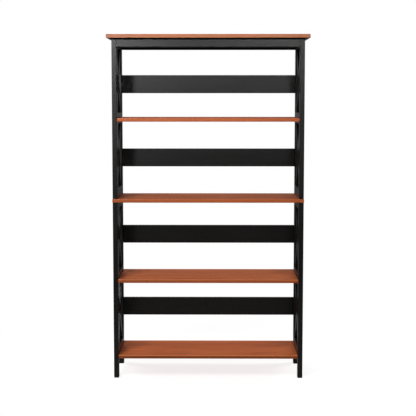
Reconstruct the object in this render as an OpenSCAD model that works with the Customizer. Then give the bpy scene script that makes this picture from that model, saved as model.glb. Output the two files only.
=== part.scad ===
// Upright open bookcase: four shelves and a top board carried by two side
// frames. Each side is an upper and a lower frame with the middle shelf
// clamped between them, and every bay of a side frame holds a crossed brace.
// X is the width, Y runs from front to back and Z is up, in millimetres. The
// origin is on the floor, under the middle of the overall size.

/* [Overall size] */
// Width over the top board
overall_w = 876; // [820:1:930]
// Depth over the top board
overall_d = 300; // [290:1:320]
// Height from the floor to the top surface
overall_h = 1505; // [1490:1:1540]

/* [Top board] */
// Thickness of the top board
top_t = 22; // [20:0.5:25]
// Height of its upright edge, above the bevel
top_edge_t = 15.5; // [12:0.5:17]
// Overhang past the side frames
top_side_over = 22; // [18:1:26]
// Overhang past the front legs
top_front_over = 15; // [10:1:18]
// Overhang past the rear legs
top_rear_over = 5; // [3:1:10]
// Radius of the upper arris
top_arris_r = 3; // [1:0.5:5]

/* [Shelves] */
// Thickness of each shelf
shelf_t = 16; // [15:0.5:18]
// Height of the bottom shelf's surface
bottom_shelf_z = 102; // [95:1:112]
// Height of the fourth shelf's surface
fourth_shelf_z = 440; // [430:1:450]
// Height of the middle shelf's surface
middle_shelf_z = 794; // [786:1:802]
// Height of the second shelf's surface
second_shelf_z = 1146; // [1136:1:1156]
// How far the middle shelf stands proud of the side frames
middle_over = 1.5; // [0.5:0.5:3]
// Radius of the shelves' long edges
shelf_arris_r = 2.5; // [1:0.5:4]

/* [Side frames] */
// Width of a leg, seen from the front
leg_w = 21; // [20:0.5:24]
// Depth of a leg, seen from the side
leg_d = 34; // [30:1:38]
// Radius of the legs' and rails' long edges
ease_r = 1.5; // [0.5:0.5:2.5]
// Thickness of the side rails
rail_t = 17; // [15:0.5:18]
// Height of the rails that carry a shelf
rail_h = 46; // [44:1:50]
// How far the rail at the second shelf rises above its surface
second_rail_rise = 21; // [18:1:28]
// The same rise at the fourth shelf
fourth_rail_rise = 18; // [16:1:28]
// The same rise at the bottom shelf
bottom_rail_rise = 26; // [18:1:28]
// Height of the rail that stands on the middle shelf
sill_rail_h = 41; // [36:1:46]
// Height of the rail under the middle shelf
head_rail_h = 32; // [30:1:40]
// Width of a brace
brace_w = 30; // [20:1:40]
// Thickness of a brace
brace_t = 13; // [10:1:14]
// Chamfer round the foot of each leg
foot_ease = 1; // [0.5:0.5:2]

/* [Aprons and back slats] */
// Height of the aprons
apron_h = 33; // [31:1:40]
// Thickness of the aprons
apron_t = 18; // [15:1:20]
// Height of a back slat
slat_h = 82; // [70:1:95]
// Thickness of a back slat
slat_t = 16; // [14:1:18]
// Gap between a shelf and the slat above it
slat_gap = 125; // [110:1:135]
// The same gap in the top bay
top_slat_gap = 108; // [95:1:120]

/* [Fasteners] */
// Shank diameter of the connector screws
screw_d = 6.4; // [5:0.1:7]
// Length of the connector screws
screw_l = 50; // [40:5:60]
// Head diameter of the connector screws
screw_head_d = 10; // [9:0.5:11]
// Diameter of the wooden dowels
dowel_d = 8; // [6:1:8]
// Length of the wooden dowels
dowel_l = 30; // [25:1:35]

/* [Hidden] */

$fn = 48;

BLACK = "#1b1a1c";
CHERRY = "#b0663f";
STEEL = "#8d9095";
BEECH = "#cfa877";

LEFT = -1;
RIGHT = 1;
FRONT = -1;
REAR = 1;
SIDES = [LEFT, RIGHT];
ENDS = [FRONT, REAR];

// Radial clearance round every fastener, the extra length of a blind hole, and
// how far a cutting shape runs past the face it opens
fit = 0.1;
hole_extra = 1;
past = 1;

// The side frames' outline, measured from the middle of their own depth
frame_w = overall_w - 2 * top_side_over;
frame_d = overall_d - top_front_over - top_rear_over;
frame_y = (top_front_over - top_rear_over) / 2;
outer_x = frame_w / 2;
inner_x = outer_x - leg_w;
face_y = frame_d / 2;
back_of_leg_y = face_y - leg_d;
rail_mid_x = inner_x + rail_t / 2;

// Heights
apron_spread = 8;
under_top_z = overall_h - top_t;
under_middle_z = middle_shelf_z - shelf_t;
apron_z = under_top_z - apron_h;
apron_screw_z = apron_z + apron_h / 2 + apron_spread;
apron_dowel_z = apron_z + apron_h / 2 - apron_spread;

// Bottom and top of each side rail, from the floor up
function shelf_rail_span(rail_top) = [rail_top - rail_h, rail_top];
bottom_rail = shelf_rail_span(bottom_shelf_z + bottom_rail_rise);
fourth_rail = shelf_rail_span(fourth_shelf_z + fourth_rail_rise);
head_rail = [under_middle_z - head_rail_h, under_middle_z];
sill_rail = [middle_shelf_z, middle_shelf_z + sill_rail_h];
second_rail = shelf_rail_span(second_shelf_z + second_rail_rise);
top_rail = [apron_z, under_top_z];
UPPER_RAILS = [sill_rail, second_rail, top_rail];
LOWER_RAILS = [bottom_rail, fourth_rail, head_rail];
RAILS = concat(LOWER_RAILS, UPPER_RAILS);

// Bottom and top of each bay that holds a crossed brace
bottom_bay = [bottom_rail[1], fourth_rail[0]];
lower_bay = [fourth_rail[1], head_rail[0]];
upper_bay = [sill_rail[1], second_rail[0]];
top_bay = [second_rail[1], top_rail[0]];

// Underside of each back slat
bottom_slat_z = bottom_shelf_z + slat_gap;
lower_slat_z = fourth_shelf_z + slat_gap;
upper_slat_z = middle_shelf_z + slat_gap;
top_slat_z = second_shelf_z + top_slat_gap;
UPPER_SLATS = [upper_slat_z, top_slat_z];
LOWER_SLATS = [bottom_slat_z, lower_slat_z];
slat_screw_spread = 22;

// Connector screws
screw_head_h = 4.5;
screw_socket_d = 4.6;
screw_socket_h = 3;
screw_tip_h = 4;
shelf_screw_y = 70;
SCREWED_SHELVES = [bottom_shelf_z, fourth_shelf_z, second_shelf_z];
apron_screw_y = face_y - apron_t / 2;
slat_screw_y = face_y - slat_t / 2;

// Wooden dowels
dowel_chamfer = 1;
dowel_in_leg = 12;
dowel_spread = 8;

// Screws up into the top board
top_screw_d = 5;
top_screw_head_d = 9;
top_screw_head_h = 3;
top_screw_seat = 6;
top_screw_bite = 12;

// Bolts and pins that hold the upper frames on the lower ones
stack_y = 60;
bolt_d = 6;
bolt_head_d = 11;
bolt_head_h = 4;
bolt_seat = 6;
insert_d = 10;
insert_l = 14;
bolt_past_insert = 3;
bolt_l = head_rail_h - bolt_seat + shelf_t + insert_l + bolt_past_insert;
pin_d = 8;
pin_bite = 20;
pin_l = shelf_t + 2 * pin_bite;
pin_inset = 11;
pin_y = face_y - pin_inset;
pin_x = outer_x - leg_w / 2;

// ---- Shared shapes ----

// Moves a piece from the side frames' own middle to its place over the origin.
module in_frame() {
    translate([0, frame_y, 0]) children();
}

// Mirrors a piece drawn at the right-hand rear to the asked side and end.
module at_corner(side, end) {
    mirror([side == LEFT ? 1 : 0, 0, 0])
        mirror([0, end == FRONT ? 1 : 0, 0]) children();
}

// Rectangle centred on the origin with round corners.
module eased_rect(w, h, r) {
    square([w - 2 * r, h], center = true);
    square([w, h - 2 * r], center = true);
    for (x = [-1, 1], y = [-1, 1])
        translate([x * (w / 2 - r), y * (h / 2 - r)]) circle(r);
}

// Board along X with eased long edges, standing on the height z0.
module board_x(length, depth, z0, height, r) {
    translate([-length / 2, 0, z0 + height / 2])
        rotate([90, 0, 90]) linear_extrude(length) eased_rect(depth, height, r);
}

// Wooden dowel along Z, standing on the origin.
module dowel(d, length) {
    rotate_extrude() polygon([
        [0, 0], [d / 2 - dowel_chamfer, 0], [d / 2, dowel_chamfer],
        [d / 2, length - dowel_chamfer], [d / 2 - dowel_chamfer, length], [0, length]
    ]);
}

// Connector screw pointing down from the top of its head at the origin.
module connector_screw() {
    difference() {
        union() {
            translate([0, 0, -screw_head_h]) cylinder(d = screw_head_d, h = screw_head_h);
            translate([0, 0, screw_tip_h - screw_l]) cylinder(d = screw_d, h = screw_l - screw_tip_h);
            translate([0, 0, -screw_l]) cylinder(d1 = screw_d / 3, d2 = screw_d, h = screw_tip_h);
        }
        translate([0, 0, -screw_socket_h])
            cylinder(d = screw_socket_d, h = screw_socket_h + hole_extra, $fn = 6);
    }
}

// The stepped hole that a connector screw sits in.
module connector_hole() {
    translate([0, 0, -screw_l - hole_extra])
        cylinder(d = screw_d + 2 * fit, h = screw_l + 2 * hole_extra);
    translate([0, 0, -screw_head_h - fit])
        cylinder(d = screw_head_d + 2 * fit, h = screw_head_h + fit + hole_extra);
}

// Turns a piece drawn pointing down so that it points inward from the right.
module from_right(x, y, z) {
    translate([x, y, z]) rotate([0, 90, 0]) children();
}

// ---- Where the fasteners go, on the right-hand rear corner ----

// Dowels from a leg into the end of a rail, with room for the hole if asked.
module rail_dowels(rail, room = 0) {
    rail_z = (rail[0] + rail[1]) / 2;
    for (up = [-1, 1])
        translate([rail_mid_x, back_of_leg_y + dowel_in_leg + room, rail_z + up * dowel_spread])
            rotate([90, 0, 0]) dowel(dowel_d + 2 * min(room, fit), dowel_l + 2 * room);
}

// Dowel from a leg into the end of an apron.
module apron_dowel(room = 0) {
    translate([inner_x + dowel_in_leg + room, apron_screw_y, apron_dowel_z])
        rotate([0, -90, 0]) dowel(dowel_d + 2 * min(room, fit), dowel_l + 2 * room);
}

// Places a screw or its hole at the end of an apron.
module at_apron_end() {
    from_right(outer_x, apron_screw_y, apron_screw_z) children();
}

// Places a screw or its hole twice at the end of a back slat.
module at_slat_end(slat_z) {
    for (up = [-1, 1])
        from_right(outer_x, slat_screw_y, slat_z + slat_h / 2 + up * slat_screw_spread) children();
}

// Places a screw or its hole at the end of a shelf.
module at_shelf_end(shelf_z) {
    from_right(inner_x + rail_t, shelf_screw_y, shelf_z - shelf_t / 2) children();
}

// Screw from the top rail up into the top board.
module top_screw(room = 0) {
    head_z = top_rail[0] + top_screw_seat - top_screw_head_h;
    length = under_top_z + top_screw_bite - head_z;
    translate([rail_mid_x, stack_y, head_z - (room > 0 ? top_screw_seat : 0)])
        cylinder(d = top_screw_head_d + 2 * room, h = top_screw_head_h + (room > 0 ? top_screw_seat : 0));
    translate([rail_mid_x, stack_y, head_z])
        cylinder(d = top_screw_d + 2 * room, h = length + (room > 0 ? hole_extra : 0));
}

// Bolt from the head rail up through the middle shelf.
module stacking_bolt(room = 0) {
    seat_z = head_rail[0] + bolt_seat;
    drop = room > 0 ? bolt_seat : bolt_head_h;
    translate([rail_mid_x, stack_y, seat_z - drop - (room > 0 ? hole_extra : 0)])
        cylinder(d = bolt_head_d + 2 * room, h = drop + (room > 0 ? hole_extra : 0));
    translate([rail_mid_x, stack_y, seat_z - past])
        cylinder(d = bolt_d + 2 * room, h = bolt_l + past + (room > 0 ? hole_extra : 0));
}

// Threaded insert in the sill rail, as a sleeve round the bolt.
module stacking_insert() {
    translate([rail_mid_x, stack_y, middle_shelf_z]) difference() {
        cylinder(d = insert_d, h = insert_l);
        translate([0, 0, -past]) cylinder(d = bolt_d + 2 * fit, h = insert_l + 2 * past);
    }
}

// Pin that lines a leg of the upper frame up with the leg below it.
module stacking_pin(room = 0) {
    translate([pin_x, pin_y, under_middle_z - pin_bite - room])
        dowel(pin_d + 2 * min(room, fit), pin_l + 2 * room);
}

// ---- Side-frame pieces, drawn at the right-hand rear ----

// A plain leg between two heights.
module leg_blank(z0, z1) {
    translate([outer_x - leg_w / 2, face_y - leg_d / 2, z0])
        linear_extrude(z1 - z0) eased_rect(leg_w, leg_d, ease_r);
}

// Leg of an upper frame; only the rear ones carry back slats.
module upper_leg(side, end) {
    color(BLACK) in_frame() at_corner(side, end) difference() {
        leg_blank(middle_shelf_z, under_top_z);
        for (rail = UPPER_RAILS) rail_dowels(rail, hole_extra);
        apron_dowel(hole_extra);
        at_apron_end() connector_hole();
        if (end == REAR)
            for (slat_z = UPPER_SLATS) at_slat_end(slat_z) connector_hole();
        stacking_pin(hole_extra);
    }
}

// Cutter for the chamfers on two opposite edges of a foot, square to the turn.
module foot_chamfers(across, along, turn) {
    for (half_turn = [0, 180])
        rotate([90, 0, turn + half_turn]) translate([0, 0, -along / 2 - past])
            linear_extrude(along + 2 * past) polygon([
                [across / 2 - foot_ease - past, -past],
                [across / 2 + past, -past],
                [across / 2 + past, foot_ease + past]
            ]);
}

// Leg of a lower frame, chamfered all round at the foot.
module lower_leg(side, end) {
    color(BLACK) in_frame() at_corner(side, end) difference() {
        leg_blank(0, under_middle_z);
        translate([outer_x - leg_w / 2, face_y - leg_d / 2, 0]) {
            foot_chamfers(leg_w, leg_d, 0);
            foot_chamfers(leg_d, leg_w, 90);
        }
        for (rail = LOWER_RAILS) rail_dowels(rail, hole_extra);
        if (end == REAR)
            for (slat_z = LOWER_SLATS) at_slat_end(slat_z) connector_hole();
        stacking_pin(hole_extra);
    }
}

// Side rail between the front and rear legs, with its dowel holes.
module rail_blank(rail) {
    difference() {
        translate([rail_mid_x, back_of_leg_y, (rail[0] + rail[1]) / 2])
            rotate([90, 0, 0]) linear_extrude(2 * back_of_leg_y)
                eased_rect(rail_t, rail[1] - rail[0], ease_r);
        for (end = ENDS) at_corner(RIGHT, end) rail_dowels(rail, hole_extra);
    }
}

// Rail whose shelf is screwed to it through its thickness.
module shelf_rail(side, rail, shelf_z) {
    color(BLACK) in_frame() at_corner(side, REAR) difference() {
        rail_blank(rail);
        for (end = ENDS) at_corner(RIGHT, end) at_shelf_end(shelf_z) connector_hole();
    }
}

// Rail under the top board.
module top_frame_rail(side) {
    color(BLACK) in_frame() at_corner(side, REAR) difference() {
        rail_blank(top_rail);
        for (end = ENDS) at_corner(RIGHT, end) top_screw(fit);
    }
}

// Rail that stands on the middle shelf and holds the threaded inserts.
module sill_frame_rail(side) {
    color(BLACK) in_frame() at_corner(side, REAR) difference() {
        rail_blank(sill_rail);
        for (end = ENDS) at_corner(RIGHT, end) {
            stacking_bolt(fit);
            translate([rail_mid_x, stack_y, middle_shelf_z - past])
                cylinder(d = insert_d + 2 * fit, h = insert_l + past + fit);
        }
    }
}

// Rail under the middle shelf, which the stacking bolts pass through.
module head_frame_rail(side) {
    color(BLACK) in_frame() at_corner(side, REAR) difference() {
        rail_blank(head_rail);
        for (end = ENDS) at_corner(RIGHT, end) stacking_bolt(fit);
    }
}

// Outline of one brace in its bay: Y across, Z up, cut to fit the corners.
module brace_outline(bay, rising) {
    bay_h = bay[1] - bay[0];
    slope = atan2(bay_h, 2 * back_of_leg_y) * (rising ? 1 : -1);
    intersection() {
        square([2 * back_of_leg_y, bay_h], center = true);
        rotate(slope) square([bay_h + 2 * back_of_leg_y, brace_w], center = true);
    }
}

// One of two crossed braces, halved into the other where they meet. The
// rising one runs from the foot of the front leg up to the rear leg. Both lie
// flush with the rails' outer faces.
module brace(side, bay, rising) {
    color(BLACK) in_frame() at_corner(side, REAR)
        translate([inner_x + rail_t - brace_t, 0, (bay[0] + bay[1]) / 2])
            rotate([90, 0, 90]) difference() {
                linear_extrude(brace_t) brace_outline(bay, rising);
                translate([0, 0, rising ? -past : brace_t / 2])
                    linear_extrude(brace_t / 2 + past) brace_outline(bay, !rising);
            }
}

// ---- Boards ----

// Board with a quarter-round upper arris and a bevel under its upright edge.
module top_board() {
    color(CHERRY) translate([0, 0, under_top_z]) difference() {
        intersection() {
            translate([0, overall_d / 2, 0]) rotate([90, 0, 0]) linear_extrude(overall_d)
                top_profile(overall_w, top_side_over, top_side_over);
            translate([-overall_w / 2, 0, 0]) rotate([90, 0, 90]) linear_extrude(overall_w)
                top_profile(overall_d, top_front_over, top_rear_over);
        }
        translate([0, 0, -under_top_z]) in_frame()
            for (side = SIDES, end = ENDS) at_corner(side, end) top_screw(fit);
    }
}

// Section of the top board across a width, with the bevel's reach at each end.
module top_profile(width, reach_low, reach_high) {
    bevel_h = top_t - top_edge_t;
    r = top_arris_r;
    polygon([
        [-width / 2 + reach_low, 0], [width / 2 - reach_high, 0], [width / 2, bevel_h],
        [width / 2, top_t - r], [width / 2 - r, top_t - r], [width / 2 - r, top_t],
        [-width / 2 + r, top_t], [-width / 2 + r, top_t - r], [-width / 2, top_t - r],
        [-width / 2, bevel_h]
    ]);
    for (x = [-1, 1]) translate([x * (width / 2 - r), top_t - r]) circle(r);
}

// Shelf between the side frames, screwed through the rails at each end.
module screwed_shelf(shelf_z) {
    color(CHERRY) in_frame() difference() {
        board_x(2 * inner_x, frame_d, shelf_z - shelf_t, shelf_t, shelf_arris_r);
        for (side = SIDES, end = ENDS) at_corner(side, end) at_shelf_end(shelf_z) connector_hole();
    }
}

// Full-width shelf clamped between the upper and lower side frames.
module middle_shelf() {
    depth = frame_d + 2 * middle_over;
    width = frame_w + 2 * middle_over;
    color(CHERRY) in_frame() difference() {
        intersection() {
            board_x(width, depth, under_middle_z, shelf_t, shelf_arris_r);
            translate([0, depth / 2, under_middle_z + shelf_t / 2]) rotate([90, 0, 0])
                linear_extrude(depth) eased_rect(width, shelf_t, shelf_arris_r);
        }
        for (side = SIDES, end = ENDS) at_corner(side, end) {
            stacking_bolt(fit);
            stacking_pin(fit);
        }
    }
}

// Apron between two legs, just under the top board.
module apron(end) {
    color(BLACK) in_frame() difference() {
        translate([0, end * apron_screw_y, 0])
            board_x(2 * inner_x, apron_t, apron_z, apron_h, ease_r);
        for (side = SIDES) at_corner(side, end) {
            apron_dowel(hole_extra);
            at_apron_end() connector_hole();
        }
    }
}

// Back slat between the rear legs.
module back_slat(slat_z) {
    color(BLACK) in_frame() difference() {
        translate([0, slat_screw_y, 0]) board_x(2 * inner_x, slat_t, slat_z, slat_h, ease_r);
        for (side = SIDES) at_corner(side, REAR) at_slat_end(slat_z) connector_hole();
    }
}

// ---- Sub-parts ----

module front_apron() apron(FRONT);
module rear_apron() apron(REAR);

module second_shelf() screwed_shelf(second_shelf_z);
module fourth_shelf() screwed_shelf(fourth_shelf_z);
module bottom_shelf() screwed_shelf(bottom_shelf_z);

module top_back_slat() back_slat(top_slat_z);
module upper_back_slat() back_slat(upper_slat_z);
module lower_back_slat() back_slat(lower_slat_z);
module bottom_back_slat() back_slat(bottom_slat_z);

module left_upper_front_leg() upper_leg(LEFT, FRONT);
module left_upper_rear_leg() upper_leg(LEFT, REAR);
module left_lower_front_leg() lower_leg(LEFT, FRONT);
module left_lower_rear_leg() lower_leg(LEFT, REAR);
module right_upper_front_leg() upper_leg(RIGHT, FRONT);
module right_upper_rear_leg() upper_leg(RIGHT, REAR);
module right_lower_front_leg() lower_leg(RIGHT, FRONT);
module right_lower_rear_leg() lower_leg(RIGHT, REAR);

module left_top_rail() top_frame_rail(LEFT);
module left_second_rail() shelf_rail(LEFT, second_rail, second_shelf_z);
module left_sill_rail() sill_frame_rail(LEFT);
module left_head_rail() head_frame_rail(LEFT);
module left_fourth_rail() shelf_rail(LEFT, fourth_rail, fourth_shelf_z);
module left_bottom_rail() shelf_rail(LEFT, bottom_rail, bottom_shelf_z);
module right_top_rail() top_frame_rail(RIGHT);
module right_second_rail() shelf_rail(RIGHT, second_rail, second_shelf_z);
module right_sill_rail() sill_frame_rail(RIGHT);
module right_head_rail() head_frame_rail(RIGHT);
module right_fourth_rail() shelf_rail(RIGHT, fourth_rail, fourth_shelf_z);
module right_bottom_rail() shelf_rail(RIGHT, bottom_rail, bottom_shelf_z);

module left_top_rising_brace() brace(LEFT, top_bay, true);
module left_top_falling_brace() brace(LEFT, top_bay, false);
module left_upper_rising_brace() brace(LEFT, upper_bay, true);
module left_upper_falling_brace() brace(LEFT, upper_bay, false);
module left_lower_rising_brace() brace(LEFT, lower_bay, true);
module left_lower_falling_brace() brace(LEFT, lower_bay, false);
module left_bottom_rising_brace() brace(LEFT, bottom_bay, true);
module left_bottom_falling_brace() brace(LEFT, bottom_bay, false);
module right_top_rising_brace() brace(RIGHT, top_bay, true);
module right_top_falling_brace() brace(RIGHT, top_bay, false);
module right_upper_rising_brace() brace(RIGHT, upper_bay, true);
module right_upper_falling_brace() brace(RIGHT, upper_bay, false);
module right_lower_rising_brace() brace(RIGHT, lower_bay, true);
module right_lower_falling_brace() brace(RIGHT, lower_bay, false);
module right_bottom_rising_brace() brace(RIGHT, bottom_bay, true);
module right_bottom_falling_brace() brace(RIGHT, bottom_bay, false);

// Draws a fastener at all four corners.
module at_all_corners(finish) {
    color(finish) in_frame()
        for (side = SIDES, end = ENDS) at_corner(side, end) children();
}

module frame_dowels() at_all_corners(BEECH) {
    for (rail = RAILS) rail_dowels(rail);
}
module apron_dowels() at_all_corners(BEECH) apron_dowel();
module apron_screws() at_all_corners(STEEL) at_apron_end() connector_screw();
module shelf_screws() at_all_corners(STEEL) {
    for (shelf_z = SCREWED_SHELVES) at_shelf_end(shelf_z) connector_screw();
}
module slat_screws() color(STEEL) in_frame() for (side = SIDES) at_corner(side, REAR) {
    for (slat_z = concat(LOWER_SLATS, UPPER_SLATS)) at_slat_end(slat_z) connector_screw();
}
module top_screws() at_all_corners(STEEL) top_screw();
module stacking_bolts() at_all_corners(STEEL) stacking_bolt();
module stacking_inserts() at_all_corners(STEEL) stacking_insert();
module stacking_pins() at_all_corners(STEEL) stacking_pin();

top_board();
front_apron();
rear_apron();
second_shelf();
middle_shelf();
fourth_shelf();
bottom_shelf();
top_back_slat();
upper_back_slat();
lower_back_slat();
bottom_back_slat();
left_upper_front_leg();
left_upper_rear_leg();
left_lower_front_leg();
left_lower_rear_leg();
right_upper_front_leg();
right_upper_rear_leg();
right_lower_front_leg();
right_lower_rear_leg();
left_top_rail();
left_second_rail();
left_sill_rail();
left_head_rail();
left_fourth_rail();
left_bottom_rail();
right_top_rail();
right_second_rail();
right_sill_rail();
right_head_rail();
right_fourth_rail();
right_bottom_rail();
left_top_rising_brace();
left_top_falling_brace();
left_upper_rising_brace();
left_upper_falling_brace();
left_lower_rising_brace();
left_lower_falling_brace();
left_bottom_rising_brace();
left_bottom_falling_brace();
right_top_rising_brace();
right_top_falling_brace();
right_upper_rising_brace();
right_upper_falling_brace();
right_lower_rising_brace();
right_lower_falling_brace();
right_bottom_rising_brace();
right_bottom_falling_brace();
frame_dowels();
apron_dowels();
apron_screws();
slat_screws();
shelf_screws();
top_screws();
stacking_bolts();
stacking_inserts();
stacking_pins();
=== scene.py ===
"""Dresses an upright open bookcase: cherry boards on black lacquered side frames with crossed braces.

The boards, aprons, back slats and braces are new surfaces in place of their solids. The legs, the side
rails and the hardware keep their own solids, because their bores are true, and get finishes here.
"""

import sys
import logging
import math
from dataclasses import dataclass, field
from enum import Enum
from typing import Iterator, Sequence

import bpy
import numpy as np
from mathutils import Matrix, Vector


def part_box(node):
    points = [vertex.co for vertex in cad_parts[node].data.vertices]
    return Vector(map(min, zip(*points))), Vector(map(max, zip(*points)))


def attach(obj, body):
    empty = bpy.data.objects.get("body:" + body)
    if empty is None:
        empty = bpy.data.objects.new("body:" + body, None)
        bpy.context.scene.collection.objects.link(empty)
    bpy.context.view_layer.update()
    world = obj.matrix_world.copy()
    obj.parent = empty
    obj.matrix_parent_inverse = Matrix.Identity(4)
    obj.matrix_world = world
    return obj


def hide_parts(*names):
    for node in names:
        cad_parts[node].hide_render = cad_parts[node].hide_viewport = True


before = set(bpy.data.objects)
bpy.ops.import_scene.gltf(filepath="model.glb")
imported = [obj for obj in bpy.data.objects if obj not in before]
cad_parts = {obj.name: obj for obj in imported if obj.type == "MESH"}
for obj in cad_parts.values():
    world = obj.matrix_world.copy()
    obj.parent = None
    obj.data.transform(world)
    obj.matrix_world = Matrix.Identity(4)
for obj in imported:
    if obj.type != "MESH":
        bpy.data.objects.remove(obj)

LOG = logging.getLogger("bookcase")
MM = 0.001
RIGHT_ANGLE = math.pi / 2
ROOT = "root"

# Attributes of the new meshes: a point's place along, across and through the fibres, and how strongly it
# takes the painted highlight along the upper arris.
GRAIN = "grain"
PAINTED_HIGHLIGHT = "wear"

# Faces that meet at a larger angle than this have a sharp edge between them.
SHARP_ANGLE = math.radians(35)

Colour = tuple[float, float, float]
Triple = tuple[float, float, float]
Span = tuple[float, float]
Socket = bpy.types.NodeSocket
Value = float | Socket


class Grain(Enum):
    """Which way the fibres run, and so which coordinates a finish reads."""

    ALONG_X = "x"
    ALONG_Y = "y"
    ALONG_Z = "z"
    ALONG_PIECE = "piece"


class Slot(Enum):
    """The record's material slots for the cherry and the black lacquer; the new surfaces don't use these
    names.
    """

    CHERRY = "cherry_finish"
    LACQUER = "black_lacquer"


class Named(Enum):
    """A choice that is part of a node's name."""

    @property
    def word(self) -> str:
        """The choice as it stands in a node's name."""
        return self.name.lower()


class Side(Named):
    """The two side frames, with the sign of their X."""

    LEFT = -1
    RIGHT = 1


class Run(Named):
    """Which way a brace runs from the front leg, with the sign of its slope."""

    RISING = 1
    FALLING = -1


# ---- Surfaces ----


@dataclass
class Surface:
    """A closed surface, with the fibre coordinates of its points and the finish of its faces.

    Args:
        points: One row of X, Y and Z per point, in metres.
        faces: Point numbers of each face, all turned the same way.
        grain: One row per point: along the fibres, across them and through the piece.
        finish: Which of the piece's finishes each face takes.
        wear: How strongly each point takes the painted highlight, from 0 to 1; without it none does.
    """

    points: np.ndarray
    faces: list[list[int]]
    grain: np.ndarray
    finish: np.ndarray
    wear: np.ndarray | None = None


def tube_faces(rings: int, around: int, splits: Sequence[int] = (0,)) -> list[list[int]]:
    """Joins rings of points into a closed tube: quads between neighbours and a flat face on each end.

    Args:
        rings: How many rings there are.
        around: How many points each ring has.
        splits: Places on a ring where an end face is divided; one place leaves it whole.

    Returns:
        The quads, then the first end's faces, then the last end's.
    """
    ring, step = np.meshgrid(np.arange(rings - 1), np.arange(around), indexing="ij")
    here, there = ring * around + step, ring * around + (step + 1) % around
    quads = np.stack([here, there, there + around, here + around], axis=-1).reshape(-1, 4)
    order = np.arange(around)
    ends = []
    for first in (0, (rings - 1) * around):
        for begin, stop in zip(splits, (*splits[1:], splits[0] + around)):
            part = np.arange(begin, stop + (len(splits) > 1)) % around
            ends.append((order[part] + first)[:: -1 if first == 0 else 1].tolist())
    return quads.tolist() + ends


@dataclass(frozen=True)
class Easing:
    """How an arris is rounded.

    Args:
        radius: Radius of the arris.
        steps: Facets in its quarter turn.
        flat: Width of the narrow strip beside it, which keeps the wide face's shading flat.
    """

    radius: float
    steps: int = 4
    flat: float = 1.5 * MM

    def quarter(self) -> np.ndarray:
        """Angles of one quarter turn, from 0 to a right angle."""
        return np.linspace(0.0, RIGHT_ANGLE, self.steps + 1)

    def around(self, half: np.ndarray, radius: np.ndarray) -> np.ndarray:
        """Works out rounded rectangles: a point is its corner's centre plus the radius turned by an angle.

        Each corner has a flat point, its quarter turn, another flat point and the middle of the next side.

        Args:
            half: Half of each ring's two widths, as rings by 2.
            radius: Each ring's corner radius.

        Returns:
            Rings by points by 2, anticlockwise from the first corner.
        """
        angle = self.quarter()
        arc = np.stack([np.cos(angle), np.sin(angle)], axis=-1)[None] * radius[:, None, None]
        flat = np.full(len(half), self.flat)
        before = np.stack([radius, -flat], axis=-1)[:, None]
        after = np.stack([-flat, radius], axis=-1)[:, None]
        local = np.concatenate([before, arc, after], axis=1)
        parts = []
        for turn in range(4):
            c, s = round(math.cos(turn * RIGHT_ANGLE)), round(math.sin(turn * RIGHT_ANGLE))
            spin = np.array([[c, s], [-s, c]], float)
            centre = (half - radius[:, None]) * (np.array([1, 1]) @ spin)
            side = half * (np.array([0, 1]) @ spin)
            parts += [centre[:, None] + local @ spin, side[:, None]]
        return np.concatenate(parts, axis=1)

    @property
    def corner_points(self) -> int:
        """Points of one corner: the quarter turn's, the flat ones and the middle of the next side."""
        return self.steps + 4

    @property
    def ring_points(self) -> int:
        """Points on each ring that around() gives."""
        return 4 * self.corner_points


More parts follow.
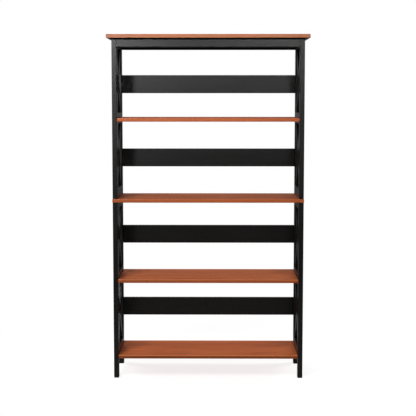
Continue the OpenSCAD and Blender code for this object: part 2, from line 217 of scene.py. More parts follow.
@dataclass(frozen=True)
class Board:
    """An eased board as a stack of level rings: the outline runs round it and its insets run up the section.

    Args:
        low: Lowest corner.
        high: Highest corner.
        easing: Rounding of its edges.
        reach: How far a bevel under the edge runs in, as left, right, front and rear.
        bevel: Height of that bevel.
        rubbing: How strongly the upper arris takes the painted highlight, from 0 to 1.
        edge_finish: Which of the piece's finishes the edges take; the wide faces take the first.
        under_finish: Which one the bevel and the underside take.
        inner_corner: Least corner radius of an inset ring, as a share of the easing's.
    """

    low: np.ndarray
    high: np.ndarray
    easing: Easing
    reach: tuple[float, float, float, float] = (0.0, 0.0, 0.0, 0.0)
    bevel: float = 0.0
    rubbing: float = 0.0
    edge_finish: int = 0
    under_finish: int = 0
    inner_corner: float = 0.1

    def section(self) -> tuple[np.ndarray, np.ndarray, np.ndarray]:
        """Works out the section: flat underside, bevel or arris, upright edge, arris and flat top.

        Returns:
            The even inset, the share of the bevel's reach and the height of each ring.
        """
        r, flat, tall = self.easing.radius, self.easing.flat, self.high[2] - self.low[2]
        turn = self.easing.quarter()
        inset, share, height = [r + flat], [float(self.bevel > 0)], [0.0]
        if self.bevel:
            inset += [0.0, 0.0, 0.0]
            share += [1.0, 0.5, 0.0]
            height += [0.0, self.bevel / 2, self.bevel]
        else:
            inset += list(r * (1 - np.sin(turn)))
            share += [0.0] * len(turn)
            height += list(r * (1 - np.cos(turn)))
        inset += [0.0, 0.0, *(r * (1 - np.cos(turn))), r + flat]
        share += [0.0] * (len(turn) + 3)
        height += [height[-1] + flat, tall - r - flat, *(tall - r + r * np.sin(turn)), tall]
        return np.array(inset), np.array(share), np.array(height)

    def surface(self) -> Surface:
        """Builds the closed surface: each level of the section is a rounded rectangle, set in by its insets.

        Returns:
            The surface, with an end face in the finish of the strip beside it.
        """
        inset, share, height = self.section()
        left, right, front, rear = (inset + share * reach for reach in self.reach)
        x0, x1 = self.low[0] + left, self.high[0] - right
        y0, y1 = self.low[1] + front, self.high[1] - rear
        half = np.stack([x1 - x0, y1 - y0], axis=-1) / 2
        radius = np.maximum(self.easing.radius - inset, self.easing.radius * self.inner_corner)
        level = self.easing.around(half, radius) + np.stack([x1 + x0, y1 + y0], axis=-1)[:, None] / 2
        z = np.broadcast_to((self.low[2] + height)[:, None, None], (*level.shape[:2], 1))
        points = np.concatenate([level, z], axis=-1).reshape(-1, 3)
        around = self.easing.ring_points
        bands = np.full(len(height) - 1, self.edge_finish, np.int32)
        bands[[0, -1]] = 0
        bands[share[:-1] > 0] = self.under_finish
        finish = np.concatenate([np.repeat(bands, around), bands[[0, -1]]])
        wear = np.zeros(len(height))
        # Painted highlight: the points of the upper arris are marked for a lighter colour that stands in for
        # light caught there.
        wear[-1 - len(self.easing.quarter()) : -1] = self.rubbing
        faces = tube_faces(len(height), around)
        return Surface(points, faces, points.copy(), finish, np.repeat(wear, around))


@dataclass(frozen=True)
class Brace:
    """A brace from corner to corner of its bay, halved where the other one crosses it.

    A point is the bay's middle plus s along the brace, w across it and t through it. The section is a
    rounded rectangle of w and t. At each station along the brace, s is a straight function of w: the
    bay's upright and level edges at the tips, and the other brace's edges at the lap.

    Args:
        low: Lowest corner of the bay's solid.
        high: Highest corner of the bay's solid.
        side: Which side frame it is in.
        run: Which way it runs.
        width: Its width.
        easing: Rounding of its edges.
        lap_wall: How far the lap's wall leans, so that no face is without area.
        sidestep: How far the fibre pattern moves across the brace for each metre that it moves along.
    """

    low: np.ndarray
    high: np.ndarray
    side: Side
    run: Run
    width: float
    easing: Easing
    lap_wall: float = 0.3 * MM
    sidestep: float = 1 / 3

    @property
    def slope(self) -> float:
        """Angle of the bay's diagonal, which the brace follows."""
        deep, tall = (self.high - self.low)[1:]
        return math.atan2(tall, deep)

    def stations(self) -> np.ndarray:
        """Works out the stations along the brace.

        Returns:
            One row each: s at w = 0, slope of s for w above 0, slope for w below 0, low and high t.
        """
        thick, deep, tall = self.high - self.low
        tip = math.hypot(deep, tall) / 2
        level, upright = -1 / math.tan(self.slope), math.tan(self.slope)
        lap = self.width / 2 / math.sin(2 * self.slope)
        lean = -1 / math.tan(2 * self.slope)
        kept = (thick / 2, thick) if self.run is Run.RISING else (0.0, thick / 2)
        flat = self.easing.flat
        return np.array([
            (-tip, upright, level, 0.0, thick),
            (-lap - flat, lean, lean, 0.0, thick),
            (-lap, lean, lean, 0.0, thick),
            (-lap + self.lap_wall, lean, lean, *kept),
            (-lap + flat, lean, lean, *kept),
            (lap - flat, lean, lean, *kept),
            (lap - self.lap_wall, lean, lean, *kept),
            (lap, lean, lean, 0.0, thick),
            (lap + flat, lean, lean, 0.0, thick),
            (tip, level, upright, 0.0, thick),
        ])

    def surface(self, shift: float) -> Surface:
        """Builds the closed surface, and turns its faces round where a single mirroring makes them point in.

        Args:
            shift: How far the fibre pattern moves along the brace, so that no two are alike.

        Returns:
            The surface.
        """
        s0, above, below, t0, t1 = self.stations().T[:, :, None]
        half = np.stack([np.full(len(s0), self.width / 2), (t1 - t0)[:, 0] / 2], axis=-1)
        ring = self.easing.around(half, np.full(len(s0), self.easing.radius))
        w, t = ring[..., 0], ring[..., 1] + (t0 + t1) / 2
        s = s0 + above * np.maximum(w, 0) + below * np.minimum(w, 0)
        cos, sin = math.cos(self.slope), math.sin(self.slope)
        middle = (self.low + self.high) / 2
        y = middle[1] + s * cos - w * sin
        z = middle[2] + (s * sin + w * cos) * self.run.value
        inner = min(abs(self.low[0]), abs(self.high[0]))
        x = (inner + t) * self.side.value
        points = np.stack([x, y, z], axis=-1).reshape(-1, 3)
        grain = np.stack([s + shift, w + shift * self.sidestep, t], axis=-1).reshape(-1, 3)
        # An end is folded where w is 0, at the middles of the two wide sides.
        corner = self.easing.corner_points
        faces = tube_faces(len(s0), self.easing.ring_points, splits=(corner - 1, 3 * corner - 1))
        if self.side.value != self.run.value:
            faces = [face[::-1] for face in faces]
        return Surface(points, faces, grain, np.zeros(len(faces), np.int32))


# ---- Finishes ----


# Values of a noise between which it goes from none to full where nothing else is said.
WIDE_SPAN: Span = (0.3, 0.7)


@dataclass(frozen=True)
class Layer:
    """One layer of smooth noise in a finish.

    Args:
        scale: Features in a metre along the fibres, across them and through the piece.
        detail: Finer octaves laid over the first.
        rough: Strength of each octave against the one before.
        turn: Angle that the layer is turned about its third axis.
        span: Values of the noise between which the layer goes from none to full.
        share: How far the full layer moves the colour.
    """

    scale: Triple
    detail: float = 2.0
    rough: float = 0.5
    turn: float = 0.0
    span: Span = WIDE_SPAN
    share: float = 1.0


@dataclass(frozen=True)
class Relief:
    """How a height shows in a finish.

    Args:
        strength: How strongly it shows.
        deep: Distance that a height of one stands for.
    """

    strength: float
    deep: float


class Shader:
    """A material's node tree, with one short method per kind of node that the finishes share.

    RANGE_TO is where the Map Range node keeps the ends of its new span, and MIX_COLOURS and MIX_RESULT
    are where the Mix node keeps its colours and its mixed colour.
    """

    RANGE_TO: Sequence[int] = (3, 4)
    MIX_COLOURS: Sequence[int] = (6, 7)
    MIX_RESULT: int = 2

    def __init__(self, owner: bpy.types.Material | bpy.types.World) -> None:
        """Empties a node tree.

        Args:
            owner: The material, or the surround, that the tree belongs to.
        """
        owner.use_nodes = True
        self.owner = owner
        self.tree = owner.node_tree
        self.tree.nodes.clear()

    @classmethod
    def named(cls, name: str) -> "Shader":
        """Starts an empty material of that name."""
        return cls(bpy.data.materials.new(name))

    def put(self, value: object, socket: Socket) -> None:
        """Links a socket to an input, or sets the input to a value.

        Args:
            value: The socket or the value.
            socket: The input.
        """
        if isinstance(value, Socket):
            self.tree.links.new(value, socket)
        else:
            socket.default_value = value

    def add(
        self, kind: str, inputs: dict[str | int, object] | None = None, **settings: object
    ) -> bpy.types.Node:
        """Adds a node.

        Args:
            kind: Blender's name for the node.
            inputs: A socket to link from, or a value, for each input.
            **settings: The node's own properties.

        Returns:
            The node.
        """
        node = self.tree.nodes.new(kind)
        for key, value in settings.items():
            setattr(node, key, value)
        for key, value in (inputs or {}).items():
            self.put(value, node.inputs[key])
        return node

    def math(self, operation: str, *values: Value) -> Socket:
        """Joins numbers with one of the Math node's operations."""
        return self.add("ShaderNodeMath", dict(enumerate(values)), operation=operation).outputs[0]

    def fibre(self, grain: Grain) -> Socket:
        """Gives the coordinates along, across and through the fibres, in metres.

        Args:
            grain: Which way the fibres run.

        Returns:
            A vector whose first part runs along the fibres.
        """
        if grain is Grain.ALONG_PIECE:
            return self.add("ShaderNodeAttribute", attribute_name=GRAIN).outputs["Vector"]
        place = self.add("ShaderNodeTexCoord").outputs["Object"]
        x, y, z = self.add("ShaderNodeSeparateXYZ", {0: place}).outputs
        parts = {Grain.ALONG_X: (x, y, z), Grain.ALONG_Y: (y, x, z), Grain.ALONG_Z: (z, x, y)}[grain]
        return self.add("ShaderNodeCombineXYZ", dict(enumerate(parts))).outputs[0]

    def noise(self, place: Socket, layer: Layer) -> Socket:
        """Gives a layer's noise, before its span cuts it.

        Args:
            place: Coordinates along, across and through the fibres.
            layer: The layer.

        Returns:
            Smooth noise from 0 to 1.
        """
        inputs = {"Vector": place, "Scale": layer.scale, "Rotation": (0.0, 0.0, layer.turn)}
        scaled = self.add("ShaderNodeMapping", inputs, vector_type="POINT").outputs[0]
        inputs = {"Vector": scaled, "Scale": 1.0, "Detail": layer.detail, "Roughness": layer.rough}
        return self.add("ShaderNodeTexNoise", inputs).outputs["Fac"]

    def spread(self, value: Value, span: Span, to: Span = (0.0, 1.0)) -> Socket:
        """Maps a number smoothly from one span to another."""
        inputs = dict(enumerate((value, *span, *to)))
        return self.add("ShaderNodeMapRange", inputs, interpolation_type="SMOOTHSTEP").outputs[0]

    def between(self, share: Value, low: Value, high: Value) -> Socket:
        """Gives the number that stands between low and high as a share stands between 0 and 1."""
        return self.add("ShaderNodeMapRange", {0: share, **dict(zip(self.RANGE_TO, (low, high)))}).outputs[0]

    def blend(self, share: Value, first: Colour | Socket, second: Colour | Socket) -> Socket:
        """Mixes two colours.

        Args:
            share: How much of the second colour there is.
            first: The first colour.
            second: The second colour.

        Returns:
            The mixed colour.
        """
        node = self.add("ShaderNodeMix", {0: share}, data_type="RGBA")
        for place, colour in zip(self.MIX_COLOURS, (first, second)):
            self.put(colour if isinstance(colour, Socket) else (*colour, 1.0), node.inputs[place])
        return node.outputs[self.MIX_RESULT]

    def bump(self, height: Value, relief: Relief, over: Socket | None = None) -> Socket:
        """Turns a height into a normal.

        Args:
            height: The height.
            relief: How it shows.
            over: Another normal, which it lies on.

        Returns:
            The normal.
        """
        inputs = {"Height": height, "Strength": relief.strength, "Distance": relief.deep}
        if over is not None:
            inputs["Normal"] = over
        return self.add("ShaderNodeBump", inputs).outputs[0]

    def seen(self) -> Socket:
        """Gives 1 to rays that come from the camera, or reach it through glass, and 0 to the others."""
        path = self.add("ShaderNodeLightPath").outputs
        return self.math("MAXIMUM", path["Is Camera Ray"], path["Is Transmission Ray"])

    def finish(self, inputs: dict[str | int, object]) -> bpy.types.Material:
        """Ends the tree with a Principled shader.

        Args:
            inputs: A socket or a value for each input.

        Returns:
            The material.
        """
        shader = self.add("ShaderNodeBsdfPrincipled", inputs)
        self.add("ShaderNodeOutputMaterial", {"Surface": shader.outputs[0]})
        return self.owner


@dataclass(frozen=True)
class CherryStain:
    """Satin cherry stain: fine fibres, flat-sawn rings, small pores and soft slanting clouds of stain, with a
    painted highlight on the upper arris and painted shade towards the ends.

    Args:
        name: The material's name.
        pale: Colour of the lightest wood.
        deep: Colour of the darkest rings and clouds.
        pore: Colour inside the pores.
        arris_highlight: Colour of the painted highlight along the upper arris, standing in for light caught
            there.
        tone: How light the board is drawn; this carries its own colour and also painted light and shade.
        figure: How strongly the grain shows.
        middle: Darkness that stays as it is however strongly the grain shows.
        gloss: Least and most roughness of the coat.
        density: The coat's index of refraction.
        ground: Darkness of the wood where it has no figure.
        rings: Growth rings in a metre.
        pith: How far the tree's pith lies below the floor.
        warp: Noise that bends the rings.
        wander: Angle of a ring's wave that the warp can shift it by.
        ring_span: Heights of a ring's wave between which it goes from pale to dark.
        ring_share: How much a ring darkens the wood.
        end: Distance from the middle where the painted shade towards a board's ends begins, standing for the
            side frames' shade.
        end_shade_fade: Length over which the painted shade deepens.
        end_shade_share: How dark the painted shade gets there.
        fibres: Fine streaks.
        bands: Broad streaks, which also carry the gloss.
        clouds: Uneven stain.
        pores: Dashes along the fibres.
        highlight_span: Values of the bands between which the painted highlight goes from full to weak.
        highlight_share: Share of the highlight colour when it is full and when it is weak.
        fibre_height: How far the fibres rise.
        pore_depth: How far the pores sink.
        relief: How both show.
    """

    name: str
    pale: Colour = (0.62, 0.163, 0.043)
    deep: Colour = (0.36, 0.070, 0.016)
    pore: Colour = (0.10, 0.020, 0.008)
    arris_highlight: Colour = (0.76, 0.235, 0.070)
    tone: float = 1.0
    figure: float = 1.0
    middle: float = 0.5
    gloss: Span = (0.42, 0.52)
    density: float = 1.32
    ground: float = 0.12
    rings: float = 170.0
    pith: float = 0.06
    warp: Layer = Layer((1.6, 9.0, 9.0))
    wander: float = 9.0
    ring_span: Span = (-0.7, 1.0)
    ring_share: float = 0.12
    end: float = 0.30
    end_shade_fade: float = 0.14
    end_shade_share: float = 0.08
    fibres: Layer = Layer((7.0, 330.0, 330.0), detail=5.0, rough=0.62, span=(0.36, 0.66), share=0.26)
    bands: Layer = Layer((2.4, 62.0, 62.0), detail=3.0, span=(0.34, 0.68), share=0.14)
    clouds: Layer = Layer((5.0, 16.0, 16.0), turn=0.55, span=(0.40, 0.74), share=0.30)
    pores: Layer = Layer((48.0, 950.0, 950.0), detail=1.0, span=(0.60, 0.72), share=0.45)
    highlight_span: Span = (0.2, 0.8)
    highlight_share: Span = (1.0, 0.6)
    fibre_height: float = 0.5
    pore_depth: float = 0.8
    relief: Relief = Relief(0.22, 0.25 * MM)

    def growth(self, tree: Shader, place: Socket) -> Socket:
        """Draws the rings: a wave of the distance from the pith line, which the warp bends.

        Args:
            tree: The material's tree.
            place: Coordinates along, across and through the fibres.

        Returns:
            How dark the rings are, from 0 to 1.
        """
        across, through = tree.add("ShaderNodeSeparateXYZ", {0: place}).outputs[1:]
        depth = tree.math("ADD", through, self.pith)
        squares = tree.math("ADD", tree.math("MULTIPLY", across, across), tree.math("MULTIPLY", depth, depth))
        wave = tree.math("MULTIPLY", tree.math("SQRT", squares), self.rings * math.tau)
        bend = tree.math("MULTIPLY", tree.noise(place, self.warp), self.wander)
        return tree.spread(tree.math("SINE", tree.math("ADD", wave, bend)), self.ring_span)

    def material(self) -> bpy.types.Material:
        """Builds the material: its darkness is the sum of the ground, the rings, the layers and the painted
        shade at the ends.

        Returns:
            The material.
        """
        tree = Shader.named(self.name)
        place = tree.fibre(Grain.ALONG_X)
        fibre, band, cloud = (tree.noise(place, layer) for layer in (self.fibres, self.bands, self.clouds))
        pores = tree.spread(tree.noise(place, self.pores), self.pores.span)
        along = tree.add("ShaderNodeSeparateXYZ", {0: place}).outputs[0]
        # Painted shade: the board darkens towards its ends, where the side frames shade it.
        end = tree.spread(tree.math("ABSOLUTE", along), (self.end, self.end + self.end_shade_fade))
        dark = tree.math("MULTIPLY_ADD", self.growth(tree, place), self.ring_share, self.ground)
        for noise, layer in ((fibre, self.fibres), (band, self.bands), (cloud, self.clouds)):
            dark = tree.math("MULTIPLY_ADD", tree.spread(noise, layer.span), layer.share, dark)
        dark = tree.math("MULTIPLY_ADD", end, self.end_shade_share, dark)
        dark = tree.math("SUBTRACT", dark, self.middle)
        dark = tree.math("MULTIPLY_ADD", dark, self.figure, self.middle)
        # Painted light and shade: the board's lightness scales both colours.
        pale, deep = (tuple(self.tone * part for part in colour) for colour in (self.pale, self.deep))
        colour = tree.blend(dark, pale, deep)
        colour = tree.blend(tree.math("MULTIPLY", pores, self.pores.share), colour, self.pore)
        # Painted highlight: the marked arris is lightened towards the highlight colour, standing in for light
        # caught by it.
        rubbing = tree.add("ShaderNodeAttribute", attribute_name=PAINTED_HIGHLIGHT).outputs["Fac"]
        rubbing = tree.math("MULTIPLY", rubbing, tree.spread(band, self.highlight_span, to=self.highlight_share))
        colour = tree.blend(rubbing, colour, self.arris_highlight)
        gloss = tree.spread(band, WIDE_SPAN, to=self.gloss)
        rise = tree.math("MULTIPLY", fibre, self.fibre_height)
        height = tree.math("SUBTRACT", rise, tree.math("MULTIPLY", pores, self.pore_depth))
        normal = tree.bump(height, self.relief)
        return tree.finish({"Base Color": colour, "Roughness": gloss, "Normal": normal, "IOR": self.density})


@dataclass(frozen=True)
class BlackLacquer:
    """Satin black lacquer over open-grained wood: pores show through it, and its gloss drifts a little.

    Args:
        name: The material's name.
        pale: Colour where the coat is thin over the fibres.
        deep: Colour where it is thick.
        gloss: Least and most roughness of the coat.
        density: The coat's index of refraction.
        fibres: Fine streaks.
        drift: Patches of more and less gloss.
        pores: Dashes along the fibres.
        peel: Fine unevenness of the sprayed coat.
        fibre_height: How far the fibres rise.
        pore_depth: How far the pores sink.
        relief: How both show.
        peel_relief: How the unevenness shows.
    """

    name: str
    pale: Colour = (0.0072, 0.0067, 0.0065)
    deep: Colour = (0.0036, 0.0035, 0.0036)
    gloss: Span = (0.29, 0.32)
    density: float = 1.4
    fibres: Layer = Layer((9.0, 300.0, 300.0), detail=4.0, rough=0.6)
    drift: Layer = Layer((3.0, 14.0, 14.0))
    pores: Layer = Layer((34.0, 700.0, 700.0), detail=1.0, span=(0.60, 0.74))
    peel: Layer = Layer((160.0, 160.0, 160.0), detail=1.0)
    fibre_height: float = 0.4
    pore_depth: float = 0.7
    relief: Relief = Relief(0.11, 0.2 * MM)
    peel_relief: Relief = Relief(0.04, 0.3 * MM)

    def material(self, grain: Grain) -> bpy.types.Material:
        """Builds the material.

        Args:
            grain: Which way the fibres run.

        Returns:
            The material.
        """
        tree = Shader.named(f"{self.name}_{grain.value}")
        place = tree.fibre(grain)
        fibre = tree.noise(place, self.fibres)
        pores = tree.spread(tree.noise(place, self.pores), self.pores.span)
        colour = tree.blend(tree.spread(fibre, self.fibres.span), self.deep, self.pale)
        gloss = tree.spread(tree.noise(place, self.drift), self.drift.span, to=self.gloss)
        rise = tree.math("MULTIPLY", fibre, self.fibre_height)
        height = tree.math("SUBTRACT", rise, tree.math("MULTIPLY", pores, self.pore_depth))
        peel = tree.bump(tree.noise(place, self.peel), self.peel_relief)
        normal = tree.bump(height, self.relief, over=peel)
        return tree.finish({"Base Color": colour, "Roughness": gloss, "Normal": normal, "IOR": self.density})


@dataclass(frozen=True)
class ZincPlate:
    """Bright zinc plate with faint spangle and dulled patches.

    Args:
        name: The material's name.
        bright: Colour of the fresh plate.
        dull: Colour of the dulled patches.
        gloss: Roughness of the fresh plate and of the patches.
        patches: Where the plate is dulled.
        spangle: Fine crystals.
        relief: How the crystals show.
    """

    name: str = "zinc_plate"
    bright: Colour = (0.62, 0.63, 0.65)
    dull: Colour = (0.42, 0.43, 0.45)
    gloss: Span = (0.22, 0.40)
    patches: Layer = Layer((260.0, 260.0, 260.0), detail=3.0, span=(0.35, 0.65))
    spangle: Layer = Layer((1800.0, 1800.0, 1800.0))
    relief: Relief = Relief(0.12, 0.05 * MM)

    def material(self) -> bpy.types.Material:
        """Builds the material.

        Returns:
            The material.
        """
        tree = Shader.named(self.name)
        place = tree.add("ShaderNodeTexCoord").outputs["Object"]
        patch = tree.noise(place, self.patches)
        colour = tree.blend(tree.spread(patch, self.patches.span), self.bright, self.dull)
        gloss = tree.spread(patch, WIDE_SPAN, to=self.gloss)
        normal = tree.bump(tree.noise(place, self.spangle), self.relief)
        return tree.finish({"Base Color": colour, "Roughness": gloss, "Normal": normal, "Metallic": 1.0})


@dataclass(frozen=True)
class BareBeech:
    """Bare beech dowel wood with short dark rays.

    Args:
        name: The material's name.
        pale: Colour of the lightest wood.
        ray: Colour of the darkest fibres and of the rays.
        gloss: Least and most roughness.
        fibres: Fine streaks.
        rays: Short dashes along the fibres.
        relief: How the fibres show.
    """

    name: str = "bare_beech"
    pale: Colour = (0.62, 0.43, 0.25)
    ray: Colour = (0.40, 0.24, 0.12)
    gloss: Span = (0.58, 0.70)
    fibres: Layer = Layer((40.0, 700.0, 700.0), detail=3.0)
    rays: Layer = Layer((160.0, 1300.0, 1300.0), detail=1.0, span=(0.60, 0.72), share=0.6)
    relief: Relief = Relief(0.3, 0.1 * MM)

    def material(self) -> bpy.types.Material:
        """Builds the material.

        Returns:
            The material.
        """
        tree = Shader.named(self.name)
        place = tree.fibre(Grain.ALONG_Y)
        fibre = tree.noise(place, self.fibres)
        rays = tree.spread(tree.noise(place, self.rays), self.rays.span)
        wood = tree.blend(fibre, self.pale, self.ray)
        colour = tree.blend(tree.math("MULTIPLY", rays, self.rays.share), wood, self.ray)
        gloss = tree.spread(fibre, self.fibres.span, to=self.gloss)
        normal = tree.bump(fibre, self.relief)
        return tree.finish({"Base Color": colour, "Roughness": gloss, "Normal": normal})


# ---- Pieces ----


def corners(node: str) -> tuple[np.ndarray, np.ndarray]:
    """Gives a solid's lowest and highest corner as arrays."""
    low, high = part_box(node)
    return np.array(low), np.array(high)


def add_piece(
    name: str, surface: Surface, finishes: Sequence[bpy.types.Material], node: str
) -> None:
    """Puts a surface in place of a solid.

    Args:
        name: The new piece's name.
        surface: Its shape, in the row frame.
        finishes: Its materials, in the order that the surface's finish numbers mean.
        node: The solid that it stands for.
    """
    mesh = bpy.data.meshes.new(name)
    mesh.from_pydata(surface.points.tolist(), [], surface.faces)
    mesh.polygons.foreach_set("material_index", surface.finish)
    mesh.polygons.foreach_set("use_smooth", np.ones(len(surface.faces), bool))
    mesh.set_sharp_from_angle(angle=SHARP_ANGLE)
    mesh.attributes.new(GRAIN, "FLOAT_VECTOR", "POINT")
    mesh.attributes[GRAIN].data.foreach_set("vector", surface.grain.astype(np.float32).ravel())
    if surface.wear is not None:
        mesh.attributes.new(PAINTED_HIGHLIGHT, "FLOAT", "POINT")
        mesh.attributes[PAINTED_HIGHLIGHT].data.foreach_set("value", surface.wear.astype(np.float32))
    for finish in finishes:
        mesh.materials.append(finish)
    mesh.update()
    piece = bpy.data.objects.new(name, mesh)
    bpy.context.scene.collection.objects.link(piece)
    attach(piece, ROOT)
    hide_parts(node)
    LOG.info("%s: new surface of %d faces for %s", name, len(surface.faces), node)


def dress(node: str, finish: bpy.types.Material) -> None:
    """Gives a solid that stays its finish.

    Args:
        node: The solid.
        finish: Its material.
    """
    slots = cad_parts[node].data.materials
    slots.clear()
    slots.append(finish)
    LOG.info("%s: solid with the finish %s", node, finish.name)


@dataclass(frozen=True)
class Lacquers:
    """The black lacquer for each way that the fibres run.

    Args:
        along_x: For fibres along X.
        along_y: For fibres along Y.
        along_z: For fibres along Z.
        along_piece: For fibres along a slanting piece.
    """

    along_x: bpy.types.Material
    along_y: bpy.types.Material
    along_z: bpy.types.Material
    along_piece: bpy.types.Material

    @classmethod
    def mix(cls, finish: BlackLacquer) -> "Lacquers":
        """Builds all four."""
        return cls(*(finish.material(grain) for grain in Grain))


@dataclass(frozen=True)
class BoardLook:
    """How light one cherry board is drawn: partly its own colour, partly painted light on the tops and
    painted shade on the edges, both stepping with the shelf's height.

    Args:
        face: How light its wide faces are drawn; lighter on the lowest shelves as painted light.
        edge: How light its edges are drawn; darker on the lower shelves as painted shade.
        arris_highlight: How strongly its upper arris takes the painted highlight, from 0 to 1.
        edge_pale: Colour of the lightest wood on its edges.
    """

    face: float
    edge: float
    arris_highlight: float = 0.0
    edge_pale: Colour = (0.62, 0.143, 0.030)


@dataclass
class CherryBoards:
    """The top board and the four shelves.

    Args:
        lacquers: Black finishes, for the bevel under the top board.
        arris: Rounding of the boards' edges.
        bevel: Height of the bevel under the top board's upright edge.
        edge_figure: How strongly the grain shows on the edges.
        edge_gloss: Least and most roughness of the edges' coat.
        edge_density: Index of refraction of the edges' coat.
        edge_deep: Colour of the darkest wood on the edges.
        top: The top board's look.
        shelves: Each shelf's look.
    """

    lacquers: Lacquers
    arris: Easing = Easing(3.0 * MM, steps=6)
    bevel: float = 6.5 * MM
    edge_figure: float = 0.45
    edge_gloss: Span = (0.32, 0.40)
    edge_density: float = 1.42
    edge_deep: Colour = (0.36, 0.064, 0.012)
    top: BoardLook = BoardLook(1.0, 0.95, edge_pale=(0.64, 0.215, 0.060))
    # Lower shelves get lighter tops and darker edges: painted light and painted shade for how the light
    # falls.
    shelves: dict[str, BoardLook] = field(default_factory=lambda: {
        "second_shelf": BoardLook(1.0, 1.02),
        "middle_shelf": BoardLook(0.92, 0.88, arris_highlight=0.05),
        "fourth_shelf": BoardLook(1.13, 0.80, arris_highlight=0.55),
        "bottom_shelf": BoardLook(1.33, 0.58, arris_highlight=1.0),
    })

    def stains(self, node: str, look: BoardLook) -> list[bpy.types.Material]:
        """Mixes a board's two stains.

        Args:
            node: The board's solid.
            look: The board's look.

        Returns:
            The finish of the wide faces and the glossier one of the edges.
        """
        face = CherryStain(f"cherry_{node}", tone=look.face)
        edge = CherryStain(
            f"cherry_{node}_edge", pale=look.edge_pale, deep=self.edge_deep, tone=look.edge,
            figure=self.edge_figure, gloss=self.edge_gloss, density=self.edge_density,
        )
        return [face.material(), edge.material()]

    def build_top(self) -> None:
        """Builds the top board, whose bevel runs in to the side frames' outer faces."""
        low, high = corners("top_board")
        legs = [corners(f"{side.word}_upper_{end}_leg") for side in Side for end in ("front", "rear")]
        left, front = (np.min([leg[0] for leg in legs], axis=0) - low)[:2]
        right, rear = (high - np.max([leg[1] for leg in legs], axis=0))[:2]
        reach = (left, right, front, rear)
        board = Board(low, high, self.arris, reach, self.bevel, edge_finish=1, under_finish=2)
        finishes = [*self.stains("top_board", self.top), self.lacquers.along_x]
        add_piece("cherry_top_board", board.surface(), finishes, "top_board")

    def build_shelves(self) -> None:
        """Builds the four shelves."""
        for node, look in self.shelves.items():
            board = Board(*corners(node), self.arris, rubbing=look.arris_highlight, edge_finish=1)
            add_piece(f"cherry_{node}", board.surface(), self.stains(node, look), node)

    def build(self) -> None:
        """Builds all the boards."""
        self.build_top()
        self.build_shelves()


@dataclass
class BackAndAprons:
    """The aprons under the top board and the slats between the rear legs.

    Args:
        lacquers: Black finishes.
        easing: Rounding of their edges.
        nodes: Their solids.
    """

    lacquers: Lacquers
    easing: Easing = Easing(1.5 * MM)
    nodes: tuple[str, ...] = (
        "front_apron", "rear_apron",
        "top_back_slat", "upper_back_slat", "lower_back_slat", "bottom_back_slat",
    )

    def build(self) -> None:
        """Builds each as an eased board on edge."""
        for node in self.nodes:
            board = Board(*corners(node), self.easing)
            add_piece(f"lacquered_{node}", board.surface(), [self.lacquers.along_x], node)


@dataclass
class SideFrames:
    """The legs, side rails and crossed braces of both sides.

    Args:
        lacquers: Black finishes.
        brace_width: Width of a brace.
        brace_easing: Rounding of a brace's edges.
        bays: The bays that hold a crossed pair.
        legs: The legs of one side.
        rails: The rails of one side.
        pattern_step: How far the fibre pattern moves from one brace to the next.
    """

    lacquers: Lacquers
    brace_width: float = 30.0 * MM
    brace_easing: Easing = Easing(1.2 * MM, steps=3, flat=1.0 * MM)
    bays: tuple[str, ...] = ("top", "upper", "lower", "bottom")
    legs: tuple[str, ...] = ("upper_front", "upper_rear", "lower_front", "lower_rear")
    rails: tuple[str, ...] = ("top", "second", "sill", "head", "fourth", "bottom")
    pattern_step: float = 0.83

    def brace_names(self) -> Iterator[tuple[Side, Run, str]]:
        """Goes through the braces.

        Yields:
            A brace's side, its run and the name of its solid.
        """
        for side in Side:
            for bay in self.bays:
                for run in Run:
                    yield side, run, f"{side.word}_{bay}_{run.word}_brace"

    def build(self) -> None:
        """Dresses the legs and rails, and builds the braces."""
        for side in Side:
            for leg in self.legs:
                dress(f"{side.word}_{leg}_leg", self.lacquers.along_z)
            for rail in self.rails:
                dress(f"{side.word}_{rail}_rail", self.lacquers.along_y)
        for number, (side, run, node) in enumerate(self.brace_names()):
            brace = Brace(*corners(node), side, run, self.brace_width, self.brace_easing)
            surface = brace.surface(shift=number * self.pattern_step)
            add_piece(f"eased_{node}", surface, [self.lacquers.along_piece], node)


@dataclass
class Hardware:
    """The screws, bolts, inserts and dowels that hold the bookcase together.

    Args:
        steel: Groups in zinc-plated steel.
        wood: Groups in beech.
    """

    steel: tuple[str, ...] = (
        "apron_screws", "slat_screws", "shelf_screws", "top_screws",
        "stacking_bolts", "stacking_inserts", "stacking_pins",
    )
    wood: tuple[str, ...] = ("frame_dowels", "apron_dowels")

    def build(self) -> None:
        """Dresses each group in its own finish."""
        zinc, beech = ZincPlate().material(), BareBeech().material()
        for node in self.steel:
            dress(node, zinc)
        for node in self.wood:
            dress(node, beech)


# ---- Studio ----


WHITE = (1.0, 1.0, 1.0, 1.0)

# Places on the bookcase's middle line that the lamps point at.
UPPER_PART: Triple = (0.0, 0.0, 1.3)
MIDDLE_PART: Triple = (0.0, 0.0, 0.6)
LOWER_PART: Triple = (0.0, 0.0, 0.4)

# Widths and heights of the lamps.
SMALL_BOX: Span = (0.5, 0.5)
WIDE_BOX: Span = (1.8, 0.8)
TALL_BOX: Span = (0.7, 1.2)


@dataclass(frozen=True)
class Softbox:
    """A soft lamp.

    Args:
        name: The lamp's name.
        place: Where it stands.
        aim: Where it points.
        size: Its width and height.
        power: Its power in watts.
        beam: Full angle of its beam in degrees, which the grid in front of it sets.
    """

    name: str
    place: Triple
    aim: Triple
    size: Span
    power: float
    beam: float

    def build(self) -> None:
        """Hangs the lamp."""
        lamp = bpy.data.lights.new(self.name, "AREA")
        lamp.shape = "RECTANGLE"
        lamp.size, lamp.size_y = self.size
        lamp.energy = self.power
        lamp.spread = math.radians(self.beam)
        holder = bpy.data.objects.new(self.name, lamp)
        holder.location = self.place
        holder.rotation_mode = "QUATERNION"
        holder.rotation_quaternion = (Vector(self.aim) - Vector(self.place)).to_track_quat("-Z", "Y")
        bpy.context.scene.collection.objects.link(holder)


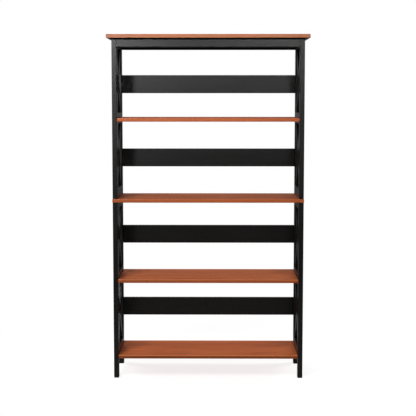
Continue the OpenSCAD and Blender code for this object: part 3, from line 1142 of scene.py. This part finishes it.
@dataclass(frozen=True)
class Viewpoint:
    """Where the camera stands: ahead of the legs' front faces, how high, how far right, and how it turns.

    Args:
        ahead: Distance ahead of the legs' front faces.
        height: Height over the floor.
        right: Distance right of the middle.
        down: Angle below level.
        left: Angle turned to the left.
        lens: Focal length in millimetres.
        drop: Share of the picture that the lens is shifted down.
    """

    ahead: float = 4.45
    height: float = 1.235
    right: float = 0.030
    down: float = 0.0912
    left: float = 0.0069
    lens: float = 88.96
    drop: float = 0.04

    def build(self) -> None:
        """Sets up the camera."""
        camera = bpy.data.cameras.new("camera")
        camera.lens = self.lens
        camera.shift_y = -self.drop
        stand = bpy.data.objects.new("camera", camera)
        legs_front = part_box("left_lower_front_leg")[0].y
        stand.location = (self.right, legs_front - self.ahead, self.height)
        stand.rotation_euler = (RIGHT_ANGLE - self.down, 0.0, self.left)
        bpy.context.scene.collection.objects.link(stand)
        bpy.context.scene.camera = stand


@dataclass
class Studio:
    """A plain pale floor, a white surround and soft lamps.

    Args:
        lamps: The softboxes.
        viewpoint: The camera's place.
        ambient: Strength of the surround on matt surfaces.
        front_glow: How bright glossy surfaces see its front.
        back_glow: How bright they see its back.
        turn: Where the one gives way to the other, as the direction's Y.
        floor_half: Half of the floor's width.
        floor_shade: The floor's own colour.
        floor_grain: Noise that darkens it here and there.
        floor_dark: Its darkest shade as a share of its own colour.
        floor_lift: Light that the floor gives off to the camera, so that it meets the white surround.
        fade: Distances from the middle between which the floor turns into the white surround.
    """

    lamps: tuple[Softbox, ...] = (
        Softbox("left_front", (-1.40, -4.9, 2.2), UPPER_PART, SMALL_BOX, power=5.3, beam=45.0),
        Softbox("right_front", (0.85, -4.9, 2.3), UPPER_PART, SMALL_BOX, power=2.2, beam=45.0),
        Softbox("left_key", (-1.5, -2.5, 2.9), MIDDLE_PART, SMALL_BOX, power=2.2, beam=60.0),
        Softbox("left_high_key", (-0.9, -1.5, 2.9), MIDDLE_PART, SMALL_BOX, power=4.1, beam=90.0),
        Softbox("right_key", (1.5, -2.5, 2.9), MIDDLE_PART, SMALL_BOX, power=1.3, beam=60.0),
        Softbox("high_back", (0.0, 1.9, 2.8), MIDDLE_PART, WIDE_BOX, power=1.4, beam=100.0),
        Softbox("left_side", (-1.7, 0.7, 1.2), LOWER_PART, TALL_BOX, power=4.6, beam=110.0),
        Softbox("right_side", (1.7, 0.7, 1.2), LOWER_PART, TALL_BOX, power=4.6, beam=110.0),
    )
    viewpoint: Viewpoint = Viewpoint()
    ambient: float = 0.16
    front_glow: float = 0.04
    back_glow: float = 0.20
    turn: Span = (-0.35, 0.25)
    floor_half: float = 12.0
    floor_shade: Colour = (0.55, 0.55, 0.55)
    floor_grain: Layer = Layer((90.0, 90.0, 90.0))
    floor_dark: float = 0.985
    floor_lift: float = 0.76
    fade: Span = (0.45, 1.25)

    def build_world(self) -> None:
        """Makes the surround white to the camera and to glass, and dim to matt surfaces.

        Glossy surfaces see it pale at the back and darker in front.
        """
        world = bpy.data.worlds.new("surround")
        tree = Shader(world)
        direction = tree.add("ShaderNodeTexCoord").outputs["Generated"]
        back = tree.add("ShaderNodeSeparateXYZ", {0: direction}).outputs["Y"]
        glow = tree.spread(back, self.turn, to=(self.front_glow, self.back_glow))
        glossy = tree.add("ShaderNodeLightPath").outputs["Is Glossy Ray"]
        strength = tree.between(tree.seen(), tree.between(glossy, self.ambient, glow), 1.0)
        background = tree.add("ShaderNodeBackground", {"Color": WHITE, "Strength": strength})
        tree.add("ShaderNodeOutputWorld", {"Surface": background.outputs[0]})
        bpy.context.scene.world = world

    def floor_material(self) -> bpy.types.Material:
        """Makes the floor matt and pale, fading into the white surround away from the bookcase.

        Returns:
            The floor's material.
        """
        tree = Shader.named("pale_floor")
        place = tree.add("ShaderNodeTexCoord").outputs["Object"]
        away = tree.add("ShaderNodeVectorMath", {0: place}, operation="LENGTH").outputs["Value"]
        far = tree.spread(away, self.fade)
        dark = tuple(part * self.floor_dark for part in self.floor_shade)
        shade = tree.blend(tree.noise(place, self.floor_grain), self.floor_shade, dark)
        matt = tree.add("ShaderNodeBsdfDiffuse", {"Color": shade}).outputs[0]
        seen = tree.seen()
        lift = tree.math("MULTIPLY", seen, self.floor_lift)
        glow = tree.add("ShaderNodeEmission", {"Strength": lift}).outputs[0]
        near = tree.add("ShaderNodeAddShader", {0: matt, 1: glow}).outputs[0]
        white = tree.add("ShaderNodeEmission", {"Strength": 1.0}).outputs[0]
        share = tree.math("MULTIPLY", far, seen)
        surface = tree.add("ShaderNodeMixShader", {0: share, 1: near, 2: white}).outputs[0]
        tree.add("ShaderNodeOutputMaterial", {"Surface": surface})
        return tree.owner

    def build_floor(self) -> None:
        """Lays the floor under the feet."""
        half = self.floor_half
        points = [(-half, -half, 0.0), (half, -half, 0.0), (half, half, 0.0), (-half, half, 0.0)]
        mesh = bpy.data.meshes.new("floor")
        mesh.from_pydata(points, [], [(0, 1, 2, 3)])
        mesh.materials.append(self.floor_material())
        floor = bpy.data.objects.new("floor", mesh)
        bpy.context.scene.collection.objects.link(floor)

    def build(self) -> None:
        """Sets up the surround, the floor, the lamps and the camera."""
        bpy.context.scene.view_settings.view_transform = "Standard"
        self.build_world()
        self.build_floor()
        for lamp in self.lamps:
            lamp.build()
        self.viewpoint.build()


def main() -> None:
    """Builds the studio and then the bookcase, one sub-assembly at a time."""
    logging.basicConfig(level=logging.INFO, format="%(message)s", stream=sys.stdout)
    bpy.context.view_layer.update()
    Studio().build()
    lacquers = Lacquers.mix(BlackLacquer("black_lacquer"))
    for assembly in (CherryBoards(lacquers), BackAndAprons(lacquers), SideFrames(lacquers), Hardware()):
        assembly.build()


if __name__ == "__main__":
    main()
